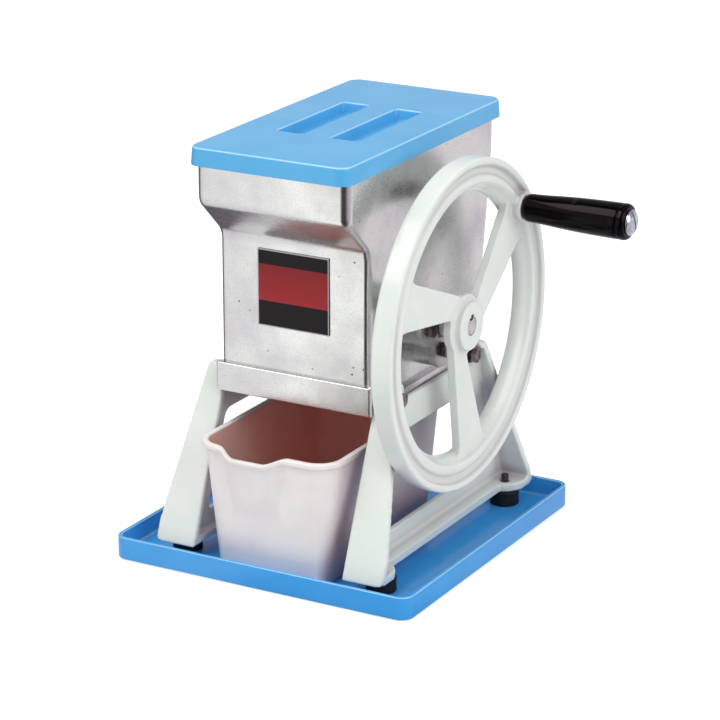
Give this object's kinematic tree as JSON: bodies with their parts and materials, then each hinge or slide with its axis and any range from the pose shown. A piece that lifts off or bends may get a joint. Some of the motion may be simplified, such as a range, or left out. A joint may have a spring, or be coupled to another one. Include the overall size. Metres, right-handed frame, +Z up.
{
  "type": "hand cranked ice crusher",
  "caption": "Hand cranked ice crusher: cast hopper on side frames in a drip tray, with a flywheel crank, toothed rotor, lift-off lid and a catch cup below.",
  "frame": {"origin": "centre of the drip tray's underside, on the surface that the machine stands on", "axes": "+X to the side with the flywheel crank, +Y to the back, +Z up; the label and the cup's pouring lip face -Y"},
  "size_m": [0.321, 0.269, 0.3223],
  "materials": {
    "blue_plastic": "glossy moulded sky-blue plastic",
    "cup_plastic": "satin moulded off-white plastic with a warm pink tint in shade",
    "cast_aluminium": "buffed cast aluminium with small pits",
    "white_enamel": "thick glossy white enamel over cast aluminium, slightly uneven",
    "black_plastic": "glossy black moulded plastic",
    "black_rubber": "matt black rubber",
    "zinc": "bright zinc plate",
    "steel": "turned and plated steel",
    "bronze": "oiled bearing bronze",
    "label_foil": "printed foil with plain dark and red bands and a silver edge, no lettering"
  },
  "bodies": {
    "tray": {"drip_tray": "blue_plastic"},
    "machine": {"hopper": "cast_aluminium", "label_plate": "label_foil", "right_frame": "white_enamel", "left_frame": "white_enamel", "foot_front_left": "black_rubber", "foot_front_right": "black_rubber", "foot_rear_left": "black_rubber", "foot_rear_right": "black_rubber", "foot_stud_front_left": "steel", "foot_stud_front_right": "steel", "foot_stud_rear_left": "steel", "foot_stud_rear_right": "steel", "flat_washer_front_left": "steel", "flat_washer_front_right": "steel", "flat_washer_rear_left": "steel", "flat_washer_rear_right": "steel", "spring_washer_front_left": "steel", "spring_washer_front_right": "steel", "spring_washer_rear_left": "steel", "spring_washer_rear_right": "steel", "frame_bolt_front_left": "steel", "frame_bolt_front_right": "steel", "frame_bolt_rear_left": "steel", "frame_bolt_rear_right": "steel", "bearing_flange_right": "cast_aluminium", "bearing_flange_left": "cast_aluminium", "bush_right": "bronze", "bush_left": "bronze", "bearing_bolt_rear_right": "steel", "bearing_bolt_front_right": "steel", "bearing_bolt_lower_right": "steel", "bearing_bolt_rear_left": "steel", "bearing_bolt_front_left": "steel", "bearing_bolt_lower_left": "steel", "front_comb": "cast_aluminium", "rear_comb": "cast_aluminium"},
    "crank": {"hand_wheel": "white_enamel", "main_shaft": "steel", "wheel_key": "steel", "shaft_collar": "steel", "rotor_disc_1": "steel", "rotor_disc_2": "steel", "rotor_disc_3": "steel", "rotor_disc_4": "steel", "rotor_disc_5": "steel", "rotor_spacer_1": "steel", "rotor_spacer_2": "steel", "rotor_spacer_3": "steel", "rotor_spacer_4": "steel", "rotor_end_spacer_right": "steel", "rotor_end_spacer_left": "steel", "grip_bolt": "zinc", "grip_nut": "steel"},
    "grip": {"grip": "black_plastic"},
    "lid": {"lid": "blue_plastic"},
    "cup": {"cup": "cup_plastic"}
  },
  "joints": [
    {"name": "machine_lift", "type": "slide", "parent": "tray", "child": "machine", "axis": [0, 0, 1], "range_m": [0, 0.03]},
    {"name": "crank_turn", "type": "hinge", "parent": "machine", "child": "crank", "pos_m": [0, 0.004, 0.18], "axis": [1, 0, 0], "continuous": true},
    {"name": "grip_spin", "type": "hinge", "parent": "crank", "child": "grip", "pos_m": [0.15, 0.08736, 0.25069], "axis": [1, 0, 0], "continuous": true},
    {"name": "lid_lift", "type": "slide", "parent": "machine", "child": "lid", "axis": [0, 0, 1], "range_m": [0, 0.05]},
    {"name": "cup_out", "type": "slide", "parent": "tray", "child": "cup", "axis": [0, -0.64, 0.7684], "range_m": [0, 0.03]}
  ]
}
